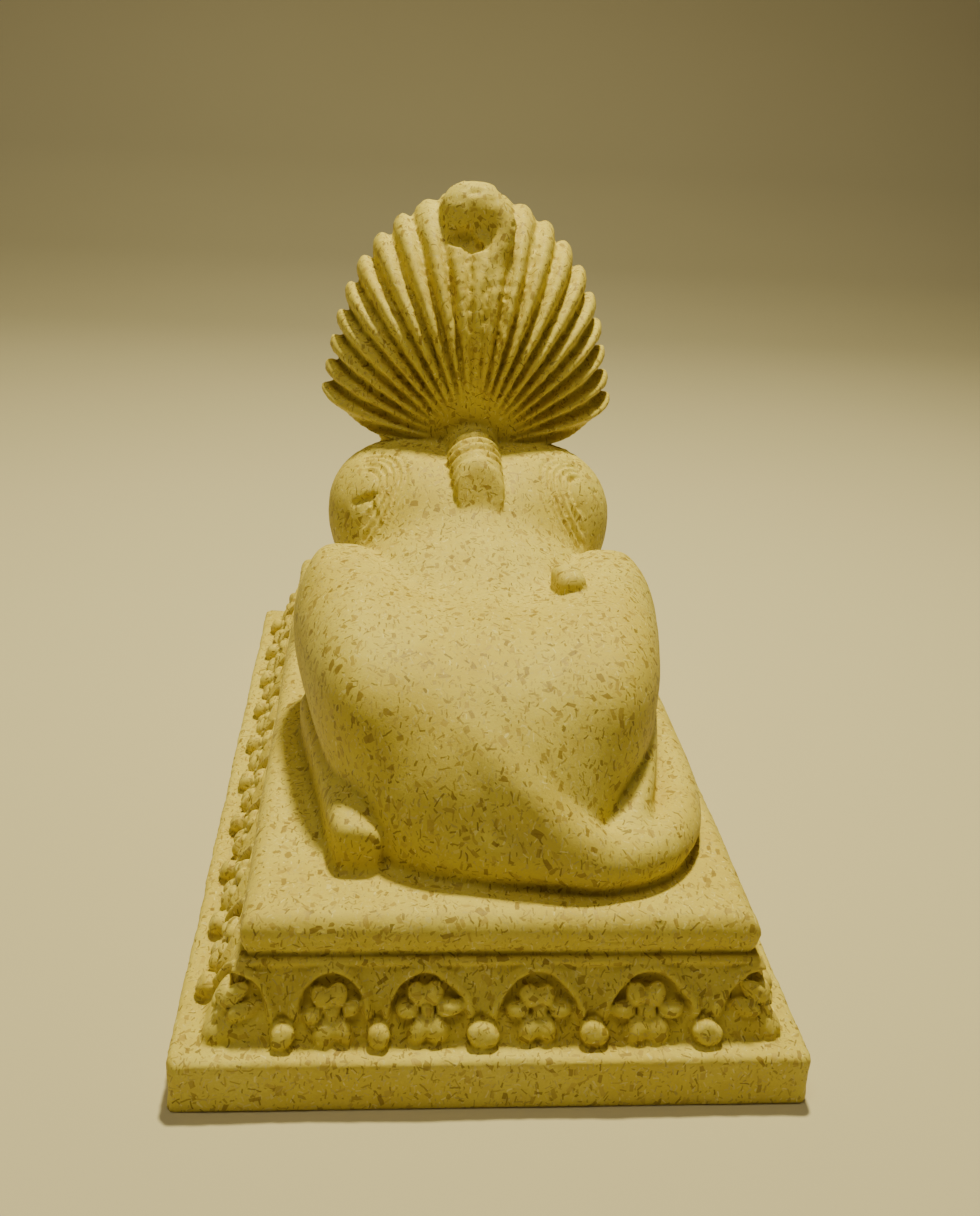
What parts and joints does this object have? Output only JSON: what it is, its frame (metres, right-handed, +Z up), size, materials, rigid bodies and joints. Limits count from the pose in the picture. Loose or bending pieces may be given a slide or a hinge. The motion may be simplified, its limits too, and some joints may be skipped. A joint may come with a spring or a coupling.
{
  "type": "souvenir sphinx statue",
  "caption": "Small cast stone sphinx with a fanned, ribbed head cloth, lying on a stepped plinth with an arcaded frieze.",
  "frame": {"origin": "middle of the plinth's underside", "axes": "+Z up; the sphinx faces -Y, with its tail end at +Y, and its right side is -X"},
  "size_m": [0.09, 0.165, 0.1162],
  "materials": {
    "cast_stone": "cream cast stone, semi-matt, with small darker see-through flakes"
  },
  "bodies": {
    "root": {"sphinx_on_plinth": "cast_stone"}
  },
  "joints": []
}
